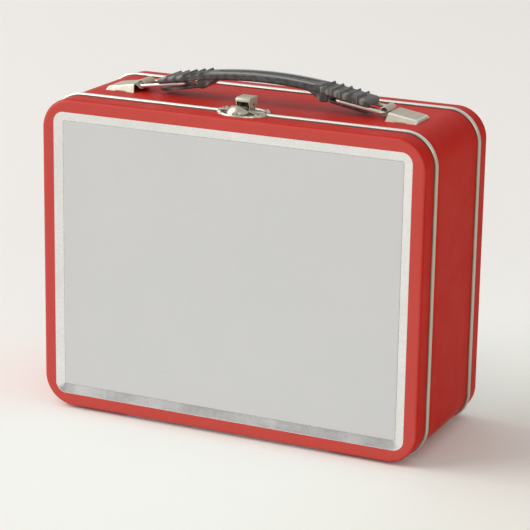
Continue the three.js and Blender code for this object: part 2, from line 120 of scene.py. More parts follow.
class Shade:
    """A material's node tree, with short ways to add the usual nodes."""

    def __init__(self, name):
        self.material = bpy.data.materials.new(name)
        self.material.use_nodes = True
        self.nodes = self.material.node_tree.nodes
        self.links = self.material.node_tree.links
        self.shader = self.nodes["Principled BSDF"]
        self.place = self.add("ShaderNodeTexCoord").outputs["Object"]

    def add(self, kind, **settings):
        node = self.nodes.new(kind)
        for key, value in settings.items():
            setattr(node, key, value)
        return node

    def feed(self, socket, value):
        if isinstance(value, bpy.types.NodeSocket):
            self.links.new(value, socket)
        else:
            socket.default_value = value

    def stretched(self, scale):
        mapping = self.add("ShaderNodeMapping")
        self.links.new(self.place, mapping.inputs["Vector"])
        mapping.inputs["Scale"].default_value = scale
        return mapping.outputs["Vector"]

    def noise(self, size_mm, detail=3.0, roughness=0.55, stretch=(1, 1, 1), offset=0.0):
        """Noise whose features are about size_mm across."""
        node = self.add("ShaderNodeTexNoise", noise_dimensions="4D")
        self.links.new(self.stretched(stretch), node.inputs["Vector"])
        node.inputs["Scale"].default_value = 1 / (size_mm * MM)
        node.inputs["Detail"].default_value = detail
        node.inputs["Roughness"].default_value = roughness
        node.inputs["W"].default_value = offset
        return node.outputs["Fac"]

    def ramp(self, value, *stops):
        """A colour ramp of (position, colour) stops."""
        node = self.add("ShaderNodeValToRGB")
        elements = node.color_ramp.elements
        while len(elements) < len(stops):
            elements.new(0.5)
        for element, (position, colour) in zip(elements, stops):
            element.position = position
            element.color = colour
        self.links.new(value, node.inputs["Fac"])
        return node.outputs["Color"]

    def fade(self, value, start, end, low=0.0, high=1.0):
        """Maps value from start..end to low..high, clamped."""
        node = self.add("ShaderNodeMapRange", clamp=True)
        self.links.new(value, node.inputs["Value"])
        for name, number in zip(("From Min", "From Max", "To Min", "To Max"), (start, end, low, high)):
            node.inputs[name].default_value = number
        return node.outputs["Result"]

    def maths(self, operation, first, second):
        node = self.add("ShaderNodeMath", operation=operation, use_clamp=False)
        self.feed(node.inputs[0], first)
        self.feed(node.inputs[1], second)
        return node.outputs[0]

    def mix(self, factor, first, second):
        node = self.add("ShaderNodeMix", data_type="RGBA")
        self.feed(node.inputs["Factor"], factor)
        self.feed(node.inputs[6], first)
        self.feed(node.inputs[7], second)
        return node.outputs[2]

    def axis(self, name):
        node = self.add("ShaderNodeSeparateXYZ")
        self.links.new(self.place, node.inputs[0])
        return node.outputs[name]

    def facing(self, axis):
        """How far the surface faces along an axis of the part, 0 to 1."""
        node = self.add("ShaderNodeSeparateXYZ")
        self.links.new(self.nodes["Texture Coordinate"].outputs["Normal"], node.inputs[0])
        return self.maths("ABSOLUTE", node.outputs[axis], 0.0)

    def distance(self):
        """Distance from the part's origin, in metres."""
        node = self.add("ShaderNodeVectorMath", operation="LENGTH")
        self.links.new(self.place, node.inputs[0])
        return node.outputs["Value"]

    def attribute(self, name):
        return self.add("ShaderNodeAttribute", attribute_name=name).outputs["Fac"]

    def bump(self, height, depth_mm, strength=1.0):
        """Bumps stacked one on the other, the last one feeding the shader."""
        node = self.add("ShaderNodeBump")
        self.links.new(height, node.inputs["Height"])
        node.inputs["Distance"].default_value = depth_mm * MM
        node.inputs["Strength"].default_value = strength
        before = self.shader.inputs["Normal"].links
        if before:
            self.links.new(before[0].from_socket, node.inputs["Normal"])
        self.links.new(node.outputs["Normal"], self.shader.inputs["Normal"])

    def set(self, **values):
        names = {"colour": "Base Color", "roughness": "Roughness", "metallic": "Metallic",
                 "coat": "Coat Weight", "coat_roughness": "Coat Roughness", "specular": "Specular IOR Level"}
        for key, value in values.items():
            self.feed(self.shader.inputs[names[key]], value)
        return self


# ---- Materials ----
def red_enamel():
    """Semi-gloss red enamel: a soft mottle, faint rubbing and tiny chips along the bends, and a painted pink
    reflection on faces turned to the front.
    """
    shade = Shade("red_enamel")
    cloudy = shade.noise(28, detail=3)
    fine = shade.noise(2.2, detail=4, offset=3.0)
    body = shade.ramp(cloudy, (0.3, srgb(186, 30, 19)), (0.7, srgb(194, 35, 23)))
    grain = shade.ramp(fine, (0.35, srgb(184, 30, 19)), (0.7, srgb(198, 38, 26)))
    paint = shade.mix(0.35, body, grain)
    wear_and_painted_light = shade.attribute("wear_and_painted_light")
    chips = shade.maths("MULTIPLY", shade.fade(shade.noise(0.8, detail=4, offset=8.0), 0.69, 0.72), wear_and_painted_light)
    rub_and_highlight = shade.maths("MULTIPLY", shade.fade(shade.noise(9, detail=4, offset=5.0), 0.45, 0.75), wear_and_painted_light)
    colour = shade.mix(shade.maths("MULTIPLY", rub_and_highlight, 0.25), paint, srgb(192, 66, 54))
    colour = shade.mix(shade.maths("MULTIPLY", chips, 0.5), colour, srgb(150, 110, 96))
    # Faces turned to the front are mixed toward a lighter pink: a painted reflection of the bright floor.
    flats = shade.fade(shade.facing("Y"), 0.5, 0.95)
    colour = shade.mix(shade.maths("MULTIPLY", flats, 0.28), colour, srgb(200, 100, 90))
    upward = shade.fade(shade.facing("Z"), 0.6, 0.95, 0.05, 0.16)
    varnish = shade.maths("ADD", upward, shade.maths("MULTIPLY", flats, 0.4))
    shade.set(colour=colour, specular=varnish)
    shade.set(roughness=shade.fade(shade.noise(14, detail=5, offset=1.5), 0.3, 0.75, 0.42, 0.55))
    shade.bump(shade.noise(1.1, detail=2, offset=2.0), 0.006)
    shade.bump(shade.noise(40, detail=2, offset=7.0), 0.1, 0.6)
    return shade.material


def tin(name, low, high, roughness, streak=(1, 1, 1), side_shading=0.0):
    """Bare tin plate: rolling streaks, with painted shade in its creases and on faces that do not face up."""
    shade = Shade(name)
    streaks = shade.noise(1.6, detail=5, stretch=streak)
    patches = shade.noise(11, detail=4, offset=4.0)
    grain = shade.ramp(streaks, (0.3, low), (0.7, high))
    cloud = shade.ramp(patches, (0.3, low), (0.7, high))
    # Faces that do not face up are mixed toward a grey: painted shade.
    shaded_sides = shade.fade(shade.facing("Z"), 0.3, 0.8, side_shading, 0.0)
    # The marked crevices, such as those beside the beads, are darkened toward brown: painted shade.
    crease = shade.maths("MULTIPLY", shade.attribute("wear_and_painted_light"), shade.maths("MAXIMUM", shaded_sides, 0.15))
    crease_shade = shade.maths("MULTIPLY", crease, shade.fade(patches, 0.2, 0.6, 0.6, 0.9))
    plain = shade.mix(shaded_sides, shade.mix(0.5, grain, cloud), srgb(190, 186, 172))
    shade.set(colour=shade.mix(crease_shade, plain, srgb(96, 60, 50)), metallic=1.0)
    shade.set(roughness=shade.fade(patches, 0.3, 0.7, roughness - 0.07, roughness + 0.08))
    shade.bump(streaks, 0.01)
    shade.bump(shade.noise(18, detail=2, offset=6.0), 0.15, 0.5)
    return shade.material


def picture_face():
    """The plain grey plate: a matt face with a light mottle and a few hairline scuffs."""
    shade = Shade("picture_face")
    cloudy = shade.noise(45, detail=3)
    fine = shade.noise(0.7, detail=3, offset=2.0)
    base = shade.ramp(cloudy, (0.3, srgb(202, 203, 203)), (0.7, srgb(206, 206, 206)))
    grain = shade.ramp(fine, (0.3, srgb(198, 199, 199)), (0.7, srgb(210, 210, 210)))
    scuffs = shade.fade(shade.noise(3, detail=6, stretch=(0.25, 1, 3), offset=9.0), 0.66, 0.72)
    mottled = shade.mix(0.3, base, grain)
    colour = shade.mix(shade.maths("MULTIPLY", scuffs, 0.25), mottled, srgb(180, 180, 178))
    shade.set(colour=colour, metallic=0.15)
    shade.set(roughness=shade.fade(shade.noise(8, detail=4, offset=5.0), 0.3, 0.7, 0.42, 0.55))
    shade.bump(fine, 0.01)
    shade.bump(shade.noise(60, detail=1, offset=4.0), 0.4, 0.5)
    return shade.material


def primer():
    """The reddish-brown primer in the hairline round the picture plate."""
    shade = Shade("primer")
    speckle = shade.noise(1.2, detail=4)
    shade.set(colour=shade.ramp(speckle, (0.3, srgb(150, 96, 88)), (0.7, srgb(176, 126, 118))), roughness=0.7)
    shade.bump(speckle, 0.02)
    return shade.material


def nickel(name, dark, light, metallic, roughness):
    """Warm nickel plate on stamped hardware: cloudy, with tarnish in places."""
    shade = Shade(name)
    cloudy = shade.noise(4, detail=5)
    spots = shade.fade(shade.noise(0.8, detail=4, offset=6.0), 0.62, 0.7)
    colour = shade.ramp(cloudy, (0.28, dark), (0.7, light))
    colour = shade.mix(shade.maths("MULTIPLY", spots, 0.35), colour, srgb(120, 112, 92))
    # The point attribute brightens the clips' folds and outer end edges toward near white: a painted
    # highlight.
    rub_and_highlight = shade.maths("MULTIPLY", shade.attribute("wear_and_painted_light"), shade.fade(cloudy, 0.2, 0.5, 0.5, 0.9))
    shade.set(colour=shade.mix(rub_and_highlight, colour, srgb(248, 246, 238)), metallic=metallic)
    shade.set(roughness=shade.fade(cloudy, 0.3, 0.7, roughness + 0.06, roughness - 0.06))
    shade.bump(shade.noise(0.9, detail=3, offset=1.0), 0.015)
    return shade.material


def drawn_wire():
    """Bright drawn steel wire with fine lengthwise draw marks."""
    shade = Shade("drawn_wire")
    marks = shade.noise(0.5, detail=4, stretch=(0.1, 0.1, 1))
    shade.set(colour=shade.ramp(marks, (0.3, srgb(212, 207, 196)), (0.7, srgb(236, 233, 225))), metallic=0.8)
    shade.set(roughness=shade.fade(shade.noise(3, detail=3, offset=2.0), 0.3, 0.7, 0.3, 0.42))
    shade.bump(marks, 0.004)
    return shade.material


def black_plastic():
    """Satin black moulded plastic, greyed in random handling marks, with a painted highlight along its high
    edges.
    """
    shade = Shade("black_plastic")
    cloudy = shade.noise(9, detail=4)
    fine = shade.noise(0.5, detail=3, offset=4.0)
    base = shade.ramp(cloudy, (0.3, srgb(44, 45, 46)), (0.7, srgb(58, 58, 57)))
    handling_and_highlight = shade.fade(shade.noise(2.5, detail=5, offset=2.0), 0.35, 0.7, 0.0, 0.2)
    # The point attribute greys the rails, rib crests and lower edges: a painted highlight.
    handling_and_highlight = shade.maths("MAXIMUM", handling_and_highlight, shade.maths("MULTIPLY", shade.attribute("wear_and_painted_light"), 0.8))
    shade.set(colour=shade.mix(handling_and_highlight, base, srgb(158, 157, 152)))
    shade.set(roughness=shade.fade(shade.noise(5, detail=4, offset=7.0), 0.3, 0.7, 0.24, 0.34))
    shade.bump(fine, 0.015)
    return shade.material


RED = red_enamel()
TIN = tin("bare_tin", srgb(226, 225, 223), srgb(243, 242, 241), 0.26)
# The bead's tin: the bare tin made lighter, a painted highlight, with painted shade where it does not face
# up.
BEAD_TIN = tin("bead_tin", srgb(238, 236, 231), srgb(249, 247, 243), 0.34, side_shading=0.85)
INNER_TIN = tin("inner_tin", srgb(176, 174, 166), srgb(206, 203, 195), 0.42, streak=(0.15, 1, 1))
FACE = picture_face()
PRIMER = primer()
NICKEL = nickel("nickel_plate", srgb(190, 184, 166), srgb(207, 201, 185), 0.55, 0.46)
BRIGHT_NICKEL = nickel("bright_nickel", srgb(180, 174, 158), srgb(214, 208, 192), 0.85, 0.32)
# A dark copy of the nickel: painted shade in the front of the latch plate's recess, inside the hasp and on
# the block under it; the latch pin is drawn in it too.
DARK_NICKEL = nickel("dark_nickel", srgb(70, 62, 48), srgb(104, 95, 76), 0.8, 0.45)
WIRE = drawn_wire()
PLASTIC = black_plastic()


# ---- Meshes ----
def build(name, points, faces, materials, paints=None, wear_and_painted_light=None, sharp=38):
    """An object from points in millimetres, smooth-shaded except at edges sharper than the given angle."""
    mesh = bpy.data.meshes.new(name)
    mesh.from_pydata([Vector(point) * MM for point in points], [], faces)
    for material in materials:
        mesh.materials.append(material)
    if paints:
        mesh.polygons.foreach_set("material_index", paints)
    # The point attribute marks chipping on the enamel, painted highlights on the nickel and plastic, and
    # painted shade in the tin's crevices.
    wear_and_light_layer = mesh.attributes.new("wear_and_painted_light", "FLOAT", "POINT")
    wear_and_light_layer.data.foreach_set("value", wear_and_painted_light or [0.0] * len(points))
    thing = bpy.data.objects.new(name, mesh)
    bpy.context.scene.collection.objects.link(thing)
    tidy(thing, sharp)
    return thing


def tidy(thing, sharp=38):
    """Merges doubles, points the faces out and sets the shading."""
    work = bmesh.new()
    work.from_mesh(thing.data)
    bmesh.ops.remove_doubles(work, verts=work.verts, dist=1e-6)
    bmesh.ops.dissolve_degenerate(work, edges=work.edges, dist=1e-7)
    bmesh.ops.recalc_face_normals(work, faces=work.faces)
    work.to_mesh(thing.data)
    work.free()
    thing.data.shade_smooth()
    thing.data.set_sharp_from_angle(angle=math.radians(sharp))


def apply(thing, sharp=38):
    """Applies the object's modifiers."""
    made = bpy.data.meshes.new_from_object(thing.evaluated_get(bpy.context.evaluated_depsgraph_get()))
    thing.modifiers.clear()
    thing.data = made
    tidy(thing, sharp)
    return thing


def combine(thing, tools, operation, sharp=38):
    """Joins or cuts with other objects, which are used up."""
    for tool in tools:
        modifier = thing.modifiers.new("combine", "BOOLEAN")
        modifier.operation = operation
        modifier.solver = "EXACT"
        modifier.material_mode = "TRANSFER"
        modifier.object = tool
    apply(thing, sharp)
    for tool in tools:
        bpy.data.objects.remove(tool)
    return thing


def bevel(thing, width, segments=2, angle=35, sharp=38):
    modifier = thing.modifiers.new("bevel", "BEVEL")
    modifier.width = width * MM
    modifier.segments = segments
    modifier.limit_method = "ANGLE"
    modifier.angle_limit = math.radians(angle)
    modifier.harden_normals = False
    return apply(thing, sharp)


def skin(rings, closed):
    """Faces over a list of equal rings of points, joined end to end if closed and capped if not."""
    count = len(rings[0])
    points = [point for ring in rings for point in ring]
    faces = []
    for row in range(len(rings) if closed else len(rings) - 1):
        here, following = row * count, (row + 1) % len(rings) * count
        for step in range(count):
            after = (step + 1) % count
            faces.append((here + step, here + after, following + after, following + step))
    if not closed:
        faces.append(tuple(range(count)))
        faces.append(tuple(len(points) - 1 - step for step in range(count)))
    return points, faces


def loft(name, rings, materials, closed=False, paints=None, wear_and_painted_light=None, sharp=38):
    """paints and wear hold one value for each ring."""
    points, faces = skin(rings, closed)
    count = len(rings[0])
    if paints:
        paints = [paint for paint in paints for _ in range(count)][:len(faces)]
        paints += [paints[-1]] * (len(faces) - len(paints))
    if wear_and_painted_light:
        wear_and_painted_light = [value for value in wear_and_painted_light for _ in range(count)]
    return build(name, points, faces, materials, paints, wear_and_painted_light, sharp)


def arc(centre, radius, start, end, steps):
    """Points (a, b) on an arc, angles in degrees."""
    angles = [math.radians(start + (end - start) * step / steps) for step in range(steps + 1)]
    return [(centre[0] + radius * math.cos(a), centre[1] + radius * math.sin(a)) for a in angles]


def circle(centre, radius, steps):
    return arc(centre, radius, 0, 360, steps)[:-1]


def prism(name, outline, low, high, axis, material):
    """An outline drawn in the two other axes, in order, pulled along x, y or z."""
    def place(a, b, along):
        return {"x": (along, a, b), "y": (a, along, b), "z": (a, b, along)}[axis]
    rings = [[place(a, b, along) for a, b in outline] for along in (low, high)]
    return loft(name, rings, [material])


def cylinder(name, centre, radius, low, high, axis, material, steps=32):
    return prism(name, circle(centre, radius, steps), low, high, axis, material)


def merge(thing, others):
    """Puts several meshes into one object without joining their surfaces, keeping their materials."""
    materials = thing.data.materials
    work = bmesh.new()
    for part in [thing] + others:
        first = len(work.faces)
        work.from_mesh(part.data)
        slots = []
        for material in part.data.materials:
            if material.name not in materials:
                materials.append(material)
            slots.append(materials.find(material.name))
        work.faces.ensure_lookup_table()
        for face in work.faces[first:]:
            face.material_index = slots[face.material_index]
    work.to_mesh(thing.data)
    work.free()
    for part in others:
        bpy.data.objects.remove(part)
    tidy(thing)
    return thing


def smooth_step(value):
    value = min(1.0, max(0.0, value))
    return value * value * (3 - 2 * value)


def finish_piece(thing, body, slot, *nodes):
    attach(thing, body)
    if nodes:
        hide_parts(*nodes)
    return thing


# ---- Case: rounded-rectangle rings ----
def corner_radius(inset):
    """The window in the rim has tighter corners than the outline."""
    if inset < RIM - 1:
        return CORNER_RADIUS - inset
    return max(WINDOW_RADIUS + RIM - inset, 1.0)


def outline(inset, y):
    """A ring of the case's outline, drawn in by inset."""
    radius = corner_radius(inset)
    reach_x, reach_z = WIDTH / 2 - inset - radius, HEIGHT / 2 - inset - radius
    corners = []
    for quarter, (side_x, side_z) in enumerate(((1, 1), (-1, 1), (-1, -1), (1, -1))):
        centre = (side_x * reach_x, MIDDLE_Z + side_z * reach_z)
        corners.append(arc(centre, radius, 90 * quarter, 90 * quarter + 90, CORNER_STEPS))
    ring = []
    for corner, following in zip(corners, corners[1:] + corners[:1]):
        ring += corner
        (x, z), (next_x, next_z) = corner[-1], following[0]
        for step in range(1, SIDE_STEPS):
            share = step / SIDE_STEPS
            ring.append((x + (next_x - x) * share, z + (next_z - z) * share))
    return [(x, y, z) for x, z in ring]


def pan(name, face_y, inwards, skirt):
    """A sunk pan: painted skirt, bend and rim, bare border, primed floor and bare inside."""
    inner, floor = RIM + BORDER, RECESS + SHEET
    crease = 0.35
    slope = RECESS / BORDER
    red, bare, primed, inside = range(4)
    outside = [(inner + 0.25, floor, primed, 0), (inner, RECESS + 0.02, bare, 0)]
    outside += [(RIM + BORDER * share, BORDER * share * slope, bare, 0) for share in (0.97, 0.7, 0.4, 0.12)]
    outside += [(RIM + crease, crease * slope * 0.6, bare, 0), (RIM, 0.0, red, 0.5)]
    outside += [(RIM - crease, 0.0, red, 0.25), (4.6, 0.0, red, 0.1), (3.0, 0.0, red, 0.15)]
    outside += [(a, b, red, 1.0) for a, b in arc((BEND, BEND), BEND, 270, 180, 7)]
    outside += [(0.0, BEND + (skirt - BEND) * share, red, 0.1) for share in (0.2, 0.5, 0.8)]
    outside += [(0.0, skirt - 0.15, red, 0.7), (0.12, skirt, inside, 0.5)]
    within = [(SHEET - 0.12, skirt, inside, 0), (SHEET, skirt - 0.15, inside, 0)]
    within += [(SHEET, BEND + 2, inside, 0)]
    within += [(a, b, inside, 0) for a, b in arc((BEND, BEND), BEND - SHEET, 180, 270, 5)]
    within += [(RIM - 0.1, SHEET, inside, 0), (inner - 0.1, RECESS + SHEET, inside, 0)]
    within += [(inner + 0.1, floor + SHEET, inside, 0)]
    profile = outside + within
    rings = [outline(inset, face_y + inwards * depth) for inset, depth, _, _ in profile]
    paints = [paint for _, _, paint, _ in profile]
    paints = [max(a, b) if {a, b} <= {red, bare} else b for a, b in zip(paints, paints[1:])]
    wear_and_painted_light = [value for _, _, _, value in profile]
    return loft(name, rings, [RED, TIN, PRIMER, INNER_TIN], paints=paints, wear_and_painted_light=wear_and_painted_light, sharp=30)


def picture_plate(name, face_y, inwards):
    """A thin plate with softened edges, lying in the pan."""
    inset = RIM + BORDER + PLATE_GAP / 2
    soft = 0.12
    profile = [(inset + 6, 0), (inset + 1, 0), (inset + soft, 0), (inset + soft * 0.3, soft * 0.3)]
    profile += [(inset, soft), (inset, SHEET), (inset + 1, SHEET)]
    rings = [outline(a, face_y + inwards * (RECESS + b)) for a, b in profile]
    return loft(name, rings, [FACE], sharp=50)


def bead(name, low, high):
    """A rolled bead, round outside with a flat inner side."""
    centre = (low.y + high.y) / 2
    sink = FLOOR_Z - BEAD_RADIUS
    section = arc((-sink, centre), BEAD_RADIUS, 50, 310, 24)
    # The ends of the section, in the crevices either side of the bead, are marked for painted shade.
    wear_and_painted_light = [smooth_step((8 - min(place, 24 - place)) / 3) for place in range(25)]
    rings = [outline(inset, y) for inset, y in section]
    return loft(name, rings, [BEAD_TIN], closed=True, wear_and_painted_light=wear_and_painted_light, sharp=50)


def band():
    """The case's band: a sleeve with a shallow joggle where it meets the rear bead."""
    front, rear = band_low.y, band_high.y
    joggle = 0.04
    outside = [(0.1, front), (0.0, front + 0.15), (0.0, front + 6), (0.0, 0.0), (0.0, rear - 8)]
    outside += [(-joggle * smooth_step(share), rear - 7 + 1.2 * share) for share in (0, 0.25, 0.5, 0.75, 1)]
    outside += [(-joggle, rear - 3), (-joggle, rear - 0.15), (0.0, rear)]
    within = [(SHEET, rear), (SHEET, rear - 6), (SHEET, 0.0), (SHEET, front + 4), (SHEET, front)]
    profile = outside + within
    rings = [outline(inset, y) for inset, y in profile]
    paints = [0] * (len(outside) - 1) + [1] * (len(within) + 1)
    wear_and_painted_light = [0.6, 0.6, 0.1] + [0.05] * (len(outside) - 6) + [0.4, 0.6, 0.6] + [0] * len(within)
    return loft("band_sleeve", rings, [RED, INNER_TIN], closed=True, paints=paints, wear_and_painted_light=wear_and_painted_light, sharp=50)


def neck():
    """The inner lip at the mouth, joggled in from its weld inside the band."""
    outer = 1.25  # clear of the beads and of the lid's skirt
    seat = SHEET + 0.05
    front, rear = neck_low.y, neck_high.y
    bend = band_low.y + 1.2
    profile = [(outer + 0.15, front), (outer, front + 0.2), (outer, bend - 0.6), (outer - 0.15, bend - 0.1),
               (seat + 0.1, bend + 0.7), (seat, bend + 1.1), (seat, rear), (seat + SHEET, rear),
               (seat + SHEET, bend + 1.2), (outer + SHEET - 0.15, bend + 0.1), (outer + SHEET, bend - 0.5),
               (outer + SHEET, front + 0.2), (outer + SHEET - 0.15, front)]
    return loft("neck_lip", [outline(a, y) for a, y in profile], [INNER_TIN], closed=True, sharp=50)


def make_case():
    finish_piece(band(), "case", "red_paint", "body_band")
    finish_piece(pan("rear_pan", REAR_Y, -1, REAR_Y - rear_low.y), "case", "red_paint", "rear_panel")
    finish_piece(pan("lid_pan", FRONT_Y, 1, lid_high.y - FRONT_Y), "lid", "red_paint", "lid_panel")
    finish_piece(picture_plate("rear_picture", REAR_Y, -1), "case", "picture_plate", "rear_picture_plate")
    finish_piece(picture_plate("lid_picture", FRONT_Y, 1), "lid", "picture_plate", "lid_picture_plate")
    finish_piece(bead("rear_bead_roll", rear_bead_low, rear_bead_high), "case", "bare_tin", "rear_bead")
    roll = bead("front_bead_roll", front_bead_low, front_bead_high)
    hinge_low, hinge_high = span("hinge_leaf_band")
    gap = hinge_high.x + 0.6
    low, high = FLOOR_Z - 3, FLOOR_Z + 4
    window = [(-gap, low), (gap, low), (gap, high), (-gap, high)]
    cutter = prism("hinge_gap", window, HINGE.y - 3, HINGE.y + 3, "y", TIN)
    finish_piece(combine(roll, [cutter], "DIFFERENCE", sharp=50), "case", "bare_tin", "front_bead")
    finish_piece(neck(), "case", "bare_tin", "mouth_neck")


# ---- Handle ----
FORK_X = 33
FORK_TIP_X = 57
SLOT_TOP = 2.75
SLOT_BOTTOM = 5.3
PRONG_BOTTOM = 7.1
BAR_HALF = 6.9
PLATE_HALF = 7.75
PRONG_HALF = 4.9
BAR_THICKNESS = 3.7
RIDGE_PITCH = 4.45
RIDGE_COUNT = 5
RIDGE_SHAPE = ((-0.85, 0.0), (-0.5, 0.5), (-0.2, 0.93), (0.05, 1.0), (0.3, 0.85), (0.5, 0.4), (0.65, 0.0))
CHANNEL_HALF = 4.0
CHANNEL_STOPS = (4.2, 4.0, 3.85, 3.75, 3.65, 3.5, 3.0, 1.5, 0.0)


def bar_top(x):
    return TOP_Z + 15.1 - 2.4 * (x / FORK_X) ** 2


def fork_top(x):
    return TOP_Z + 12.4 - 0.18 * (x - FORK_X)


def handle_section(half, low, high, radius, groove=0.0):
    """A rounded section of (y, z, highlight) points, with a channel between two rails along its top; the
    rails and the lower edge carry a painted highlight.
    """
    radius = min(radius, (high - low) / 2 - 0.01)
    # The third value is a painted highlight: full on the rails beside the channel, 0.7 of it at the middle of
    # the lower edge.
    rail = 0.9 if groove else 0.0
    under = arc((half - radius, low + radius), radius, -90, 0, 5)
    over = arc((half - radius, high - radius), radius, 0, 90, 5)
    points = [(y, z, rail * 0.7 * (place == 2)) for place, (y, z) in enumerate(under)]
    points += [(y, z, rail * (place > 3)) for place, (y, z) in enumerate(over)]
    for y in CHANNEL_STOPS:
        depth = groove * smooth_step((CHANNEL_HALF - y) / 0.5)
        points.append((y, high - depth, rail if y >= CHANNEL_HALF else 0.0))
    return points + [(-y, z, rub_and_highlight) for y, z, rub_and_highlight in reversed(points[:-1])]


def handle_loft(name, side, stations, crests=()):
    """Sections given as (x, half, low, high, radius, groove), x counted outwards; the tops of crests get a
    painted highlight.
    """
    rings, wear_and_painted_light = [], []
    for x, *section in stations:
        ring = handle_section(*section)
        middle = (section[1] + section[2]) / 2
        crest = float(any(abs(x - place) < 0.3 for place in crests))
        rings.append([(HARDWARE_X + side * x, HANDLE_Y + y, z) for y, z, _ in ring])
        wear_and_painted_light += [max(rub_and_highlight, crest * (z > middle)) for _, z, rub_and_highlight in ring]
    points, faces = skin(rings, False)
    return build(name, points, faces, [PLASTIC], wear_and_painted_light=wear_and_painted_light, sharp=40)


def bar_stations():
    """The arched bar, its channel fading out before the forks."""
    stations = []
    for x in (0, 4, 8, 12, 16, 20, 23, 25, 27, 29, 31):
        groove = 0.55 * smooth_step((29 - x) / 4)
        stations.append((x, BAR_HALF, bar_top(x) - BAR_THICKNESS, bar_top(x), 1.25, groove))
    return stations


def plate_stations():
    """The fork's upper plate, with its cross ribs and a rounded tip."""
    stations = [(30.5, BAR_HALF - 0.3, fork_top(31) - SLOT_TOP, fork_top(31) - 0.3, 0.6)]
    stations.append((31.4, PLATE_HALF - 0.4, fork_top(31) - SLOT_TOP, fork_top(31), 0.6))
    for ridge in range(RIDGE_COUNT):
        centre = FORK_X + ridge * RIDGE_PITCH
        for offset, height in RIDGE_SHAPE:
            x = centre + offset
            low, high = fork_top(x) - SLOT_TOP, fork_top(x) + height
            stations.append((x, PLATE_HALF + 0.25 * height, low, high, 0.55))
        x = centre + RIDGE_SHAPE[-1][0] + 1.6
        stations.append((x, PLATE_HALF, fork_top(x) - SLOT_TOP, fork_top(x) - 0.06, 0.55))
    for turn in (0, 20, 40, 60, 75, 88):
        angle = math.radians(turn)
        x = FORK_TIP_X - 2.2 + 2.2 * math.sin(angle)
        half = PLATE_HALF - 2.2 + 2.2 * math.cos(angle)
        thin = SLOT_TOP / 2 * (0.3 + 0.7 * math.cos(angle))
        middle = fork_top(x) - SLOT_TOP / 2
        stations.append((x, half, middle - thin, middle + thin, 0.5))
    return stations


def web_stations():
    """The haunch under the bar, the web at the fork's root and the lower prong, hooked up at its tip."""
    root = fork_top(FORK_X) - PRONG_BOTTOM
    stations = []
    for x, share in ((23, 0.0), (25, 0.08), (27, 0.25), (29, 0.55), (30.5, 0.85), (31.5, 1.0), (34.6, 1.0)):
        under = bar_top(min(x, 31)) - BAR_THICKNESS + 0.1
        low = under + (root - under) * share
        high = min(bar_top(x) - 0.8, fork_top(FORK_X) - 1.0)
        stations.append((x, BAR_HALF - 0.25, low, high, 0.7))
    stations.append((34.95, BAR_HALF - 0.5, root + 0.1, fork_top(FORK_X) - 1.2, 0.7))
    stations.append((35.2, PRONG_HALF + 0.5, root + 0.3, fork_top(35) - SLOT_BOTTOM - 0.1, 0.6))
    for x in (36.2, 42, 48, 53):
        stations.append((x, PRONG_HALF, fork_top(x) - PRONG_BOTTOM, fork_top(x) - SLOT_BOTTOM, 0.6))
    for x, half, low, high in ((55, 4.7, 6.8, 5.1), (56.2, 4.1, 6.4, 5.0), (56.8, 2.9, 6.05, 5.3)):
        stations.append((x, half, fork_top(x) - low, fork_top(x) - high, 0.6))
    return stations


def make_handle():
    bar = handle_loft("handle_moulding", 1, bar_stations())
    parts = [handle_loft("bar_left", -1, bar_stations())]
    for side in (-1, 1):
        crests = [FORK_X + ridge * RIDGE_PITCH for ridge in range(RIDGE_COUNT)]
        parts.append(handle_loft("fork_plate", side, plate_stations(), crests))
        parts.append(handle_loft("fork_web", side, web_stations()))
    finish_piece(combine(bar, parts, "UNION", sharp=40), "handle", "black_plastic", "handle_grip")


# ---- Handle clips ----
CLIP_SHEET = 0.6
CLIP_STATIONS = (  # x at the base, x at the top, height, half-width at the base and at the top
    (67.5, 68.5, 4.0, 9.3, 7.2), (71, 71.7, 3.5, 9.2, 7.2), (75, 75.4, 2.9, 9.1, 7.2),
    (79, 79.1, 2.35, 9.1, 7.2), (82.3, 82.0, 1.85, 9.2, 7.2), (82.9, 82.6, 1.72, 9.2, 7.15),
    (83.2, 82.95, 1.45, 9.15, 7.0), (83.35, 83.2, 0.8, 9.1, 6.95), (83.4, 83.35, 0.15, 9.0, 6.95),
)
CLIP_EDGE = (5, 6)  # the stations along the outer end edge
CURL_SHEET = 0.6
CURL_RADIUS = 2.05
CURL_HALF = 5.2
WIRE_RADIUS = 0.95
LOOP_HALF = 6.3
LOOP_LENGTH = 24.6
LOOP_BEND = 2
LOOP_REST = math.radians(8.5)


def rounded_corner(before, corner, after, radius, steps=5):
    """Points turning a corner smoothly between two neighbours."""
    corner = Vector(corner)
    start = corner + (Vector(before) - corner).normalized() * radius
    end = corner + (Vector(after) - corner).normalized() * radius
    points = []
    for step in range(steps + 1):
        share = step / steps
        points.append(start * (1 - share) ** 2 + corner * 2 * share * (1 - share) + end * share ** 2)
    return [tuple(point) for point in points]


def channel_path(height, half_base, half_top):
    """A folded channel seen along its length, as (y, z, highlight), from foot to foot; the rounded folds get
    a painted highlight.
    """
    radius = min(0.5, height * 0.4)
    slope = (Vector((-half_base, 0)) - Vector((-half_top, height))).normalized()
    foot, top, far_top = (-half_base, 0), (-half_top, height), (half_top, height)
    fold = [(y, z, 1) for y, z in rounded_corner(foot, top, far_top, radius)]
    before = Vector(top) + slope * radius * 1.6
    half = [(-half_base, 0.0, 0), (before.x, before.y, 0)] + fold + [(-half_top + radius * 1.6, height, 0)]
    return half + [(-y, z, rub_and_highlight) for y, z, rub_and_highlight in reversed(half)]


